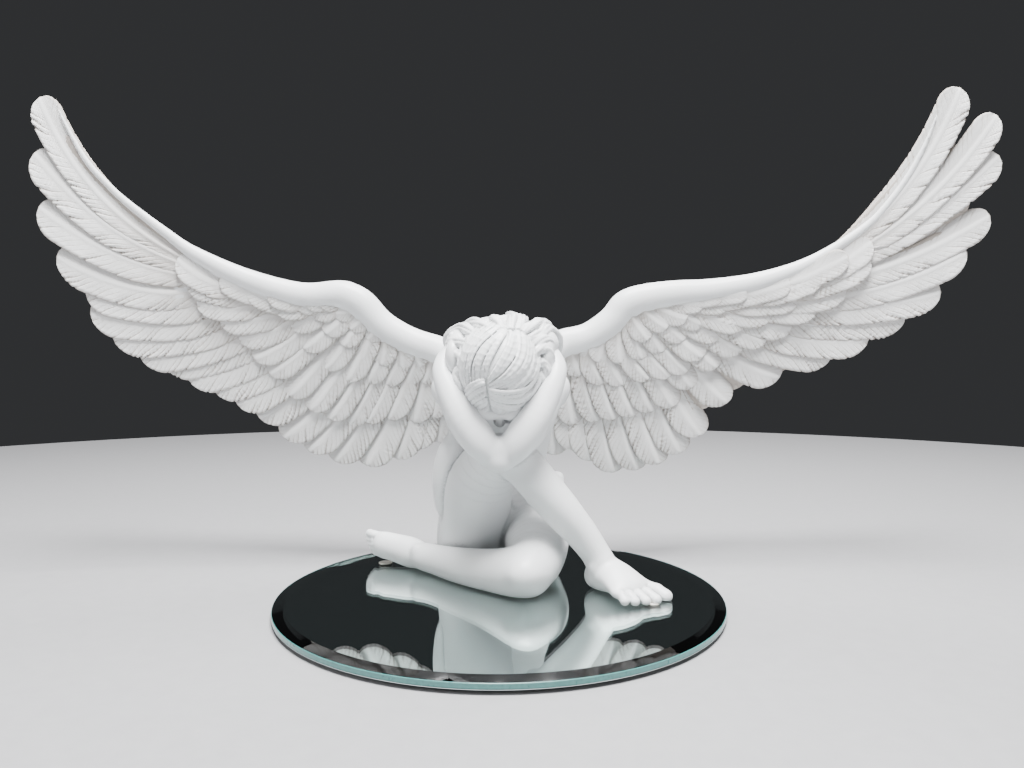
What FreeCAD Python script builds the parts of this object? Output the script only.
import FreeCAD, Part

# Seated angel figurine on a round bevelled mirror plate.
#
# The figure is a cast resin sculpture made of separate castings, pinned and glued together: a torso, a head
# with its hair, two arms, a raised leg and a folded leg. Two large wings plug into sockets at the shoulder
# blades on square bars. The figure is stuck to a bevelled glass mirror, which stands on five round bumpers.
#
# Millimetres. +Z is up, the figure faces -Y, and the origin is the centre of the middle bumper's underside.

import math
import os

import Sketcher

PLATE = {
    "mirror_diameter": 200.0,
    "glass_thickness": 3.0,
    "edge_height": 2.2,
    "bevel_width": 5.5,
    "silver_thickness": 0.15,
    "backing_thickness": 0.25,
    "backing_inset": 0.5,
    "bumper_diameter": 12.0,
    "bumper_height": 1.6,
    "bumper_circle_radius": 78.0,
    "bumper_count": 4.0,
    "adhesive_thickness": 0.3,
    "adhesive_radius": 3.5,
}
PINS = {
    "neck_pin_radius": 2.0,
    "neck_pin_length": 16.0,
    "shoulder_pin_radius": 1.5,
    "shoulder_pin_length": 12.0,
    "hip_pin_radius": 2.0,
    "hip_pin_length": 16.0,
    "bar_width": 7.0,
    "bar_in_socket": 11.0,
    "bar_in_wing": 10.0,
    "socket_clearance": 0.15,
    "socket_floor_gap": 0.5,
    "seat_radius": 8.4,
    "seat_gap": 0.3,
    "boss_length": 14.0,
    "blade_boss_radius": 9.0,
    "blade_boss_length": 15.0,
}
WING = {
    "socket_x": 14.0,
    "socket_y": 39.0,
    "socket_z": 103.0,
    "pull_out_x": 0.62,
    "pull_out_y": 0.55,
    "pull_out_z": 0.56,
    "sheet_thickness": 5.0,
    "sheet_root_x": 10.0,
    "sheet_root_y": 47.0,
    "sheet_middle_x": 120.0,
    "sheet_middle_y": 55.0,
    "sheet_tip_x": 250.0,
    "sheet_tip_y": 32.0,
    "sheet_lean": 0.12,
    "sheet_level_z": 120.0,
    "notch_depth": 5.0,
    "wing_arm_drop": 3.0,
    "wing_arm_root_radius": 6.8,
    "wing_arm_end_radius": 4.8,
    "left_tip_count": 17.0,
    "right_tip_count": 20.0,
}

# Sections of the sculpture: the centre, then half the width across the limb and half its depth.
SECTIONS = {
    "seat": (-2.0, 51.0, 2.0, 27.0, 18.0),
    "buttocks": (-2.0, 52.0, 15.0, 31.0, 21.0),
    "pelvis": (-2.0, 51.0, 29.0, 29.5, 19.0),
    "loin": (-1.5, 50.0, 42.0, 25.0, 15.5),
    "waist": (-1.0, 48.0, 55.0, 23.0, 14.0),
    "ribs": (0.0, 43.5, 70.0, 25.5, 15.0),
    "chest": (0.0, 36.5, 85.0, 27.0, 14.0),
    "shoulder_line": (0.0, 27.0, 98.0, 23.0, 11.5),
    "neck_root": (0.0, 19.0, 106.0, 10.0, 8.0),
    "neck": (0.0, 10.0, 108.5, 7.5, 7.0),
    "raised_hip": (-17.0, 44.0, 30.0, 16.0, 16.0),
    "raised_thigh": (-9.0, 24.0, 47.0, 13.5, 13.5),
    "raised_knee": (7.0, 2.0, 68.0, 9.0, 9.0),
    "raised_calf": (19.0, 0.0, 53.0, 9.6, 9.6),
    "raised_shin": (31.0, 0.0, 38.0, 8.0, 8.0),
    "raised_ankle": (46.0, 0.0, 19.0, 5.6, 5.6),
    "raised_heel": (44.5, 3.0, 12.0, 5.5, 5.5),
    "raised_instep": (56.0, -9.0, 12.5, 6.5, 5.5),
    "raised_ball": (65.0, -19.0, 9.0, 8.0, 3.8),
    "raised_toes": (71.5, -26.0, 8.0, 6.0, 2.4),
    "raised_toe_tips": (75.0, -29.5, 7.4, 3.0, 1.2),
    "folded_hip": (17.0, 44.0, 24.0, 16.0, 17.0),
    "folded_thigh": (17.0, 22.0, 20.0, 13.5, 13.5),
    "folded_knee": (14.0, -6.0, 16.0, 11.0, 11.0),
    "folded_calf": (-10.0, 8.0, 13.5, 8.6, 8.6),
    "folded_shin": (-28.0, 23.0, 12.5, 7.0, 7.0),
    "folded_ankle": (-42.0, 35.0, 12.0, 5.5, 5.5),
    "folded_heel": (-42.0, 38.0, 11.0, 5.5, 5.5),
    "folded_instep": (-54.0, 44.0, 13.5, 5.5, 6.5),
    "folded_ball": (-63.0, 49.0, 13.0, 4.2, 7.0),
    "folded_toes": (-70.0, 53.0, 12.5, 2.4, 5.0),
    "folded_toe_tips": (-74.0, 54.5, 12.2, 1.2, 2.6),
    "shoulder": (26.0, 26.0, 96.0, 8.0, 8.0),
    "upper_arm": (17.0, 5.0, 82.0, 6.8, 6.8),
    "elbow": (6.0, -15.0, 69.5, 5.6, 5.6),
    "forearm": (14.5, -15.0, 83.0, 6.0, 6.0),
    "wrist": (25.5, -9.0, 104.0, 3.8, 3.8),
    "palm": (23.0, 0.0, 113.0, 5.5, 3.0),
    "fingers": (15.0, 9.0, 119.0, 5.0, 2.4),
    "head": (0.0, -8.0, 106.5, 20.5, 20.5),
    "hair_right": (-14.0, 8.0, 116.0, 11.0, 11.0),
    "hair_middle": (1.0, 5.0, 116.5, 12.0, 12.5),
    "hair_left": (17.0, 8.0, 116.0, 11.0, 11.0),
}
JOINT_SWELL = 1.06

# Front outlines of the wings, as (distance from the middle, height): the leading edge, and the feather tips.
LEADING_EDGE = {
    "left": [
        (25, 117), (41, 124), (58, 138), (73, 145), (98, 149), (124, 153), (151, 160), (192, 189),
        (210, 223), (219, 242),
    ],
    "right": [
        (25, 117), (41, 121), (58, 131), (72, 144), (97, 147), (124, 154), (155, 167), (195, 199),
        (213, 229), (220, 239),
    ],
}
TIP_LINE = {
    "left": [(227, 236), (240, 208), (234, 165), (209, 126), (156, 97), (106, 60), (61, 49), (25, 58)],
    "right": [(222, 236), (229, 200), (224, 160), (196, 117), (155, 91), (110, 63), (71, 53), (34, 66)],
}
SIDES = {"left": 1, "right": -1}

# The middle and the direction of each pin, and the dabs of adhesive under the figure.
HIP_PINS = {
    "raised": ((-13, 32, 40), (0.3, -0.8, 0.6)),
    "folded": ((17, 34, 22), (0, -1, 0)),
}
SHOULDER_PINS = {
    "left": ((19.5, 27, 96), (1, 0, 0)),
    "right": ((-19.5, 27, 96), (-1, 0, 0)),
}
NECK_PIN_SINK = 1.0
DABS = {"seat": (-2, 50), "knee": (14, -5), "shin": (-18, 15), "foot": (66, -19), "toes": (-60, 47)}

doc = FreeCAD.newDocument("AngelFigurine")
sheet = doc.addObject("Spreadsheet::Sheet", "Dimensions")


def fill_sheet():
    """Writes every driving dimension to a cell of its own, with its name as the alias."""
    cells = {**PLATE, **PINS, **WING, "joint_swell": JOINT_SWELL}
    for name, values in SECTIONS.items():
        for key, value in zip(("x", "y", "z", "wide", "deep"), values):
            cells[f"{name}_{key}"] = value
    for row, (alias, value) in enumerate(cells.items(), start=1):
        sheet.set(f"A{row}", alias)
        sheet.set(f"B{row}", str(value))
        sheet.setAlias(f"B{row}", alias)
    doc.recompute()


def size(alias):
    """A dimension as the sheet holds it now."""
    return float(sheet.get(alias))


def place(name, side=1):
    """A section's centre, mirrored to one side where side is -1."""
    return FreeCAD.Vector(side * size(f"{name}_x"), size(f"{name}_y"), size(f"{name}_z"))


def bind(thing, **properties):
    """Ties properties to expressions, with Base__x standing for Placement.Base.x."""
    for key, expression in properties.items():
        path = "Placement." + key.replace("__", ".") if "__" in key else key
        thing.setExpression(path, expression)


def put(name, shape, placement=None):
    """Adds a shape made by Part's own functions to the document."""
    feature = doc.addObject("Part::Feature", name)
    feature.Shape = shape
    if placement is not None:
        feature.Placement = placement
    return feature


def boolean(kind, name, first, *others):
    """A Cut, or a MultiFuse, of document objects."""
    thing = doc.addObject(kind, name)
    if kind == "Part::Cut":
        thing.Base, thing.Tool = first, others[0]
    else:
        thing.Shapes = [first, *others]
    thing.Refine = False
    doc.recompute([thing])
    return thing


def cut_all(name, base, tools):
    """Takes several tools away from base, one after the other."""
    for number, tool in enumerate(tools):
        base = boolean("Part::Cut", f"{name}_trim_{number}", base, tool)
    return base


def finish_node(thing, label):
    """Gives a sub-part the label that names its file."""
    thing.Label = label
    nodes.append(thing)


nodes = []

# ---------------------------------------------------------------- tapered limbs


def ring(centre, normal, across, wide, deep):
    """A closed oval section, wide along across and deep at right angles to it, square to normal."""
    side_way = across - normal * across.dot(normal)
    side_way.normalize()
    other_way = normal.cross(side_way)
    points = []
    ring_points = 12
    for k in range(ring_points):
        turn = 2 * math.pi * k / ring_points
        points.append(centre + side_way * (wide * math.cos(turn)) + other_way * (deep * math.sin(turn)))
    curve = Part.BSplineCurve()
    curve.interpolate(Points=points, PeriodicFlag=True)
    return Part.Wire([curve.toShape()])


def loft(centres, widths, depths, across):
    """A solid lofted smoothly through oval sections, closed by a flat at each end."""
    wires = []
    for k, centre in enumerate(centres):
        before = centres[max(k - 1, 0)]
        after = centres[min(k + 1, len(centres) - 1)]
        normal = after - before
        normal.normalize()
        wires.append(ring(centre, normal, across, widths[k], depths[k]))
    return Part.makeLoft(wires, True, False)


def limb(names, across, side=1):
    """A limb lofted through the named sections."""
    centres = [place(name, side) for name in names]
    widths = [size(f"{name}_wide") for name in names]
    depths = [size(f"{name}_deep") for name in names]
    return loft(centres, widths, depths, across)


def ball(name, label, side=1):
    """A ball at a section's centre, a little larger than the section, that rounds a limb's end."""
    sphere = doc.addObject("Part::Sphere", label)
    sign = "-" if side < 0 else ""
    bind(
        sphere,
        Radius=f"Dimensions.{name}_wide * Dimensions.joint_swell",
        Base__x=f"{sign}Dimensions.{name}_x",
        Base__y=f"Dimensions.{name}_y",
        Base__z=f"Dimensions.{name}_z",
    )
    return sphere


def pin(name, middle, along, kind):
    """A round pin centred on middle, its radius and length bound to the sheet."""
    turn = FreeCAD.Rotation(FreeCAD.Vector(0, 0, 1), along)
    half = turn.multVec(FreeCAD.Vector(0, 0, size(f"{kind}_length") / 2))
    rod = doc.addObject("Part::Cylinder", name)
    bind(rod, Radius=f"Dimensions.{kind}_radius", Height=f"Dimensions.{kind}_length")
    rod.Placement = FreeCAD.Placement(middle - half, turn)
    return rod


# ---------------------------------------------------------------- mirror plate


def make_plate():
    """The bevelled glass, its silver coat, its backing coat, and the bumpers under it."""
    body = doc.addObject("PartDesign::Body", "MirrorGlass")
    sketch = body.newObject("Sketcher::SketchObject", "GlassProfile")
    planes = {plane.Role: plane for plane in body.Origin.OriginFeatures}
    sketch.AttachmentSupport = (planes["XZ_Plane"], "")
    sketch.MapMode = "FlatFace"
    bottom = size("bumper_height") + size("backing_thickness") + size("silver_thickness")
    radius = size("mirror_diameter") / 2
    corners = [
        (0, bottom),
        (radius, bottom),
        (radius, bottom + size("edge_height")),
        (radius - size("bevel_width"), bottom + size("glass_thickness")),
        (0, bottom + size("glass_thickness")),
    ]
    for k, corner in enumerate(corners):
        start = FreeCAD.Vector(corner[0], corner[1], 0)
        end = FreeCAD.Vector(*corners[(k + 1) % len(corners)], 0)
        sketch.addGeometry(Part.LineSegment(start, end), False)
    join_corners(sketch, len(corners))
    name_lengths(sketch)
    turned = body.newObject("PartDesign::Revolution", "GlassTurned")
    turned.Profile = sketch
    turned.ReferenceAxis = (sketch, ["V_Axis"])
    turned.Angle = 360.0
    doc.recompute()
    finish_node(body, "mirror_glass")

    silver_level = "bumper_height + Dimensions.backing_thickness"
    flat_disc("mirror_silver", "mirror_diameter / 2", "silver_thickness", silver_level)
    backing_radius = "mirror_diameter / 2 - Dimensions.backing_inset"
    flat_disc("mirror_backing", backing_radius, "backing_thickness", "bumper_height")
    make_bumpers()


def join_corners(sketch, count):
    """Ties each line of a closed profile to the next one."""
    for k in range(count):
        sketch.addConstraint(Sketcher.Constraint("Coincident", k, 2, (k + 1) % count, 1))
    sketch.addConstraint(Sketcher.Constraint("Horizontal", 0))
    sketch.addConstraint(Sketcher.Constraint("Vertical", 1))
    sketch.addConstraint(Sketcher.Constraint("Horizontal", 3))
    sketch.addConstraint(Sketcher.Constraint("PointOnObject", 0, 1, -2))
    sketch.addConstraint(Sketcher.Constraint("PointOnObject", 3, 2, -2))


def name_lengths(sketch):
    """Drives the glass profile's lengths from the sheet."""
    base = sketch.Geometry[0].StartPoint.y
    radius = sketch.Geometry[0].EndPoint.x
    base_level = "bumper_height + Dimensions.backing_thickness + Dimensions.silver_thickness"
    lengths = [
        ("base_level", ("DistanceY", -1, 1, 0, 1, base), base_level),
        ("glass_radius", ("DistanceX", 0, 1, 0, 2, radius), "mirror_diameter / 2"),
        ("edge_height", ("DistanceY", 1, 1, 1, 2, size("edge_height")), "edge_height"),
        ("bevel_width", ("DistanceX", 2, 2, 2, 1, size("bevel_width")), "bevel_width"),
        ("glass_height", ("DistanceY", 0, 1, 3, 2, size("glass_thickness")), "glass_thickness"),
    ]
    for name, terms, expression in lengths:
        number = sketch.addConstraint(Sketcher.Constraint(*terms))
        sketch.renameConstraint(number, name)
        sketch.setExpression(f"Constraints.{name}", f"Dimensions.{expression}")


def flat_disc(name, radius, height, level):
    """A coat on the back of the glass."""
    disc = doc.addObject("Part::Cylinder", name.title().replace("_", ""))
    bind(disc, Radius=f"Dimensions.{radius}", Height=f"Dimensions.{height}", Base__z=f"Dimensions.{level}")
    finish_node(disc, name)


def make_bumpers():
    """One bumper in the middle, and the others in a circle round it."""
    bumpers = []
    for k in range(int(size("bumper_count")) + 1):
        bumper = doc.addObject("Part::Cylinder", f"Bumper{k}")
        bind(bumper, Radius="Dimensions.bumper_diameter / 2", Height="Dimensions.bumper_height")
        if k:
            turn = f"(45 deg + 360 deg * {k} / Dimensions.bumper_count)"
            bind(
                bumper,
                Base__x=f"Dimensions.bumper_circle_radius * cos({turn})",
                Base__y=f"Dimensions.bumper_circle_radius * sin({turn})",
            )
        bumpers.append(bumper)
    group = doc.addObject("Part::Compound", "Bumpers")
    group.Links = bumpers
    finish_node(group, "bumper_feet")


def plate_top():
    """Height of the glass's upper face."""
    layers = ("bumper_height", "backing_thickness", "silver_thickness", "glass_thickness")
    return sum(size(layer) for layer in layers)


# ---------------------------------------------------------------- wings


def pull_out(side):
    """The way a wing leaves its socket."""
    way = FreeCAD.Vector(side * size("pull_out_x"), size("pull_out_y"), size("pull_out_z"))
    way.normalize()
    return way


def seat(side):
    """The middle of the flat on the shoulder blade that a wing's root meets."""
    return FreeCAD.Vector(side * size("socket_x"), size("socket_y"), size("socket_z"))


def round_boss(start, along, radius, length):
    """A solid cylinder from start along a direction."""
    return Part.makeCylinder(radius, length, start, along)


def square_bar(name, side, width, behind, ahead):
    """A square bar on the wing's axis, from behind the seat to ahead of it."""
    way = pull_out(side)
    turn = FreeCAD.Rotation(FreeCAD.Vector(0, 0, 1), way)
    corner = turn.multVec(FreeCAD.Vector(-width / 2, -width / 2, -behind))
    bar = doc.addObject("Part::Box", name)
    bar.Length, bar.Width, bar.Height = width, width, behind + ahead
    bar.Placement = FreeCAD.Placement(seat(side) + corner, turn)
    return bar


def spline(points, side):
    """A smooth curve in the front plane through (distance, height) points."""
    curve = Part.BSplineCurve()
    curve.interpolate([FreeCAD.Vector(side * x, 0, z) for x, z in points])
    return curve


def wing_outline(name, side):
    """The wing seen from the front: a smooth leading edge, then one rounded tip for each long feather."""
    leading = spline(LEADING_EDGE[name], side)
    tips = spline(TIP_LINE[name], side)
    count = int(size(f"{name}_tip_count"))
    first, last = tips.FirstParameter, tips.LastParameter
    heart = FreeCAD.Vector(side * 90, 0, 140)
    edges = [leading.toShape()]
    notch = leading.value(leading.LastParameter)
    for k in range(count):
        tip = tips.value(first + (last - first) * (k + 0.5) / count)
        corner = tips.value(first + (last - first) * (k + 1) / count)
        inwards = heart - corner
        inwards.normalize()
        corner = corner + inwards * size("notch_depth")
        edges.append(Part.Arc(notch, tip, corner).toShape())
        notch = corner
    edges.append(Part.LineSegment(notch, leading.value(leading.FirstParameter)).toShape())
    return Part.Face(Part.Wire(edges))


def sheet_profile(side):
    """The wing's thickness seen from above: a band between two arcs."""
    half = size("sheet_thickness") / 2
    rows = []
    for offset in (-half, half):
        rows.append([
            FreeCAD.Vector(side * size(f"sheet_{key}_x"), size(f"sheet_{key}_y") + offset, 0)
            for key in ("root", "middle", "tip")
        ])
    near, far = rows
    edges = [
        Part.Arc(*near).toShape(),
        Part.LineSegment(near[2], far[2]).toShape(),
        Part.Arc(*reversed(far)).toShape(),
        Part.LineSegment(far[0], near[0]).toShape(),
    ]
    return Part.Face(Part.Wire(edges))


def sheet_depth(x, z):
    """How far back the middle of a wing's sheet lies at a place seen from the front."""
    circle = Part.Circle(*[
        FreeCAD.Vector(size(f"sheet_{key}_x"), size(f"sheet_{key}_y"), 0)
        for key in ("root", "middle", "tip")
    ])
    rise = math.sqrt(circle.Radius**2 - (x - circle.Center.x) ** 2)
    return circle.Center.y + rise - size("sheet_lean") * (z - size("sheet_level_z"))


def wing_arm(name, side):
    """The bone along the leading edge, from inside the boss to past the wrist: its solid, and its end."""
    start = seat(side) + pull_out(side) * (size("seat_gap") + 0.6 * size("boss_length"))
    centres = [start]
    for x, z in LEADING_EDGE[name][:6]:
        height = z - size("wing_arm_drop")
        centres.append(FreeCAD.Vector(side * x, sheet_depth(x, height), height))
    count = len(centres)
    first, last = size("wing_arm_root_radius"), size("wing_arm_end_radius")
    radii = [first + (last - first) * k / (count - 1) for k in range(count)]
    return loft(centres, radii, radii, FreeCAD.Vector(0, 1, 0)), centres[-1], radii[-1]


def make_wing(name):
    """A wing casting: the feathered sheet, the arm on its leading edge, and the boss that meets the back."""
    side = SIDES[name]
    front_depth = 120.0
    outline = put(f"{name}_outline", wing_outline(name, side))
    slab = doc.addObject("Part::Extrusion", f"{name}_outline_slab")
    slab.Base, slab.DirMode, slab.Dir = outline, "Custom", FreeCAD.Vector(0, 1, 0)
    slab.LengthFwd, slab.Solid = front_depth, True

    below = 100.0
    rise = 260.0
    lean = size("sheet_lean")
    profile = put(
        f"{name}_sheet_profile",
        sheet_profile(side),
        FreeCAD.Placement(
            FreeCAD.Vector(0, lean * below, size("sheet_level_z") - below), FreeCAD.Rotation()
        ),
    )
    curtain = doc.addObject("Part::Extrusion", f"{name}_sheet")
    way = FreeCAD.Vector(0, -lean, 1)
    curtain.Base, curtain.DirMode, curtain.Dir = profile, "Custom", way
    curtain.LengthFwd, curtain.Solid = rise * way.Length, True

    blade = doc.addObject("Part::Common", f"{name}_blade")
    blade.Base, blade.Tool = slab, curtain
    doc.recompute()

    arm_solid, end, end_radius = wing_arm(name, side)
    arm = put(f"{name}_wing_arm", arm_solid)
    start = seat(side) + pull_out(side) * size("seat_gap")
    boss_shape = round_boss(start, pull_out(side), size("seat_radius"), size("boss_length"))
    boss = put(f"{name}_boss", boss_shape)
    cap = put(f"{name}_wing_arm_cap", Part.makeSphere(end_radius * size("joint_swell"), end))
    doc.recompute()
    whole = boolean("Part::MultiFuse", f"{name}_wing_form", blade, arm, boss, cap)
    bar = square_bar(f"{name}_bar", side, size("bar_width"), size("bar_in_socket"), size("bar_in_wing"))
    doc.recompute()
    wing = boolean("Part::Cut", f"{name}_wing_body", whole, bar)
    finish_node(wing, f"{name}_wing")
    finish_node(bar, f"{name}_wing_bar")


# ---------------------------------------------------------------- the figure


def socket_tools(side, name):
    """What a wing's socket takes out of the back: the square hole, and the space in front of its flat."""
    width = size("bar_width") + 2 * size("socket_clearance")
    hole = square_bar(f"{name}_socket", side, width, size("bar_in_socket") + size("socket_floor_gap"), 1.0)
    spot = put(
        f"{name}_spot_face",
        round_boss(seat(side), pull_out(side), size("seat_radius") + 1.0, 2.5 * size("boss_length")),
    )
    return [spot, hole]


def foot_sections(leg):
    """Names of a foot's sections, from its heel to its toe tips."""
    return [f"{leg}_{part}" for part in ("heel", "instep", "ball", "toes", "toe_tips")]


def make_figure():
    """The castings of the body, each trimmed by the ones that it meets, and the pins that join them."""
    across = FreeCAD.Vector(1, 0, 0)
    floor_level = plate_top() + size("adhesive_thickness")
    floor = doc.addObject("Part::Box", "FloorTrim")
    floor.Length, floor.Width, floor.Height = 300, 300, 60
    floor.Placement.Base = FreeCAD.Vector(-150, -150, floor_level - 60)

    spine = ["seat", "buttocks", "pelvis", "loin", "waist", "ribs", "chest"]
    spine += ["shoulder_line", "neck_root", "neck"]
    forms = [put("spine_form", limb(spine, across))]
    for name, side in SIDES.items():
        length = size("blade_boss_length")
        start = seat(side) - pull_out(side) * length
        boss = round_boss(start, pull_out(side), size("blade_boss_radius"), length)
        forms.append(put(f"{name}_blade_boss", boss))
    doc.recompute()
    torso = boolean("Part::MultiFuse", "torso_form", *forms)

    leg_parts = {
        "raised": [
            limb(["raised_hip", "raised_thigh", "raised_knee"], across),
            limb(["raised_knee", "raised_calf", "raised_shin", "raised_ankle"], across),
            limb(foot_sections("raised"), FreeCAD.Vector(1, 1, 0)),
        ],
        "folded": [
            limb(["folded_hip", "folded_thigh", "folded_knee"], across),
            limb(["folded_knee", "folded_calf", "folded_shin", "folded_ankle"], FreeCAD.Vector(0, 1, 0)),
            limb(foot_sections("folded"), FreeCAD.Vector(0, 1, 0)),
        ],
    }
    legs = {}
    for leg, solids in leg_parts.items():
        pieces = [put(f"{leg}_form_{k}", solid) for k, solid in enumerate(solids)]
        for joint in ("hip", "knee", "ankle", "heel"):
            pieces.append(ball(f"{leg}_{joint}", f"{leg}_{joint}_ball"))
        doc.recompute()
        legs[leg] = boolean("Part::MultiFuse", f"{leg}_leg_form", *pieces)

    arms = {}
    for name, side in SIDES.items():
        pieces = [
            put(f"{name}_upper_arm_form", limb(["shoulder", "upper_arm", "elbow"], across, side)),
            put(f"{name}_forearm_form", limb(["elbow", "forearm", "wrist"], across, side)),
            put(f"{name}_hand_form", limb(["wrist", "palm", "fingers"], FreeCAD.Vector(0, 1, 1), side)),
        ]
        pieces += [ball(joint, f"{name}_{joint}_ball", side) for joint in ("shoulder", "elbow", "wrist")]
        doc.recompute()
        arms[name] = boolean("Part::MultiFuse", f"{name}_arm_whole", *pieces)

    hair = limb(["hair_right", "hair_middle", "hair_left"], FreeCAD.Vector(0, 1, 0))
    head_parts = [put("HairForm", hair)]
    head_parts += [ball(name, f"{name}_ball") for name in ("head", "hair_right", "hair_left")]
    doc.recompute()
    head = boolean("Part::MultiFuse", "head_form", *head_parts)

    sockets = [tool for name, side in SIDES.items() for tool in socket_tools(side, name)]
    neck_middle = place("neck") - FreeCAD.Vector(0, 0, NECK_PIN_SINK)
    neck_pin = pin("NeckPin", neck_middle, FreeCAD.Vector(0, -1, 0), "neck_pin")
    hip_pins = [
        pin(f"{name.title()}HipPin", FreeCAD.Vector(*middle), FreeCAD.Vector(*along), "hip_pin")
        for name, (middle, along) in HIP_PINS.items()
    ]
    shoulder_pins = [
        pin(f"{name.title()}ShoulderPin", FreeCAD.Vector(*middle), FreeCAD.Vector(*along), "shoulder_pin")
        for name, (middle, along) in SHOULDER_PINS.items()
    ]
    doc.recompute()

    torso = cut_all("torso", torso, [floor, *sockets, neck_pin, *hip_pins, *shoulder_pins])
    raised = cut_all("raised", legs["raised"], [floor, torso, hip_pins[0]])
    folded = cut_all("folded", legs["folded"], [floor, torso, legs["raised"], hip_pins[1]])
    right = cut_all("right_arm", arms["right"], [torso, legs["raised"], shoulder_pins[1]])
    left = cut_all("left_arm", arms["left"], [torso, legs["raised"], arms["right"], shoulder_pins[0]])
    head = cut_all("head", head, [torso, arms["left"], arms["right"], neck_pin])

    finish_node(torso, "torso")
    finish_node(raised, "raised_leg")
    finish_node(folded, "folded_leg")
    finish_node(left, "left_arm")
    finish_node(right, "right_arm")
    finish_node(head, "head_and_hair")
    finish_node(neck_pin, "neck_pin")
    for label, rods in (("hip_pins", hip_pins), ("shoulder_pins", shoulder_pins)):
        group = doc.addObject("Part::Compound", label.title().replace("_", ""))
        group.Links = rods
        finish_node(group, label)


def make_adhesive():
    """Thin round dabs of clear adhesive between the figure and the glass."""
    dabs = []
    for name, (x, y) in DABS.items():
        dab = doc.addObject("Part::Cylinder", f"{name.title()}Dab")
        bind(dab, Radius="Dimensions.adhesive_radius", Height="Dimensions.adhesive_thickness")
        dab.Placement.Base = FreeCAD.Vector(x, y, plate_top())
        dabs.append(dab)
    group = doc.addObject("Part::Compound", "AdhesiveDabs")
    group.Links = dabs
    finish_node(group, "adhesive_dabs")


def check_and_export():
    """Stops if any object failed or any sub-part is not valid, then writes the STEP files."""
    doc.recompute()
    failed = [o.Name for o in doc.Objects if "Invalid" in o.State or "Error" in o.State]
    if failed:
        raise RuntimeError(f"failed objects: {failed}")
    os.makedirs("parts", exist_ok=True)
    for node in nodes:
        shape = node.Shape
        count, volume = len(shape.Solids), shape.Volume
        print(f"{node.Label}: {count} solid(s), {volume:.0f} mm3, valid {shape.isValid()}")
        if shape.isNull() or not shape.isValid() or not shape.Solids:
            raise RuntimeError(f"{node.Label} is not a valid solid")
        shape.exportStep(os.path.join("parts", f"{node.Label}.step"))


fill_sheet()
make_plate()
make_figure()
for wing_name in SIDES:
    make_wing(wing_name)
make_adhesive()
check_and_export()
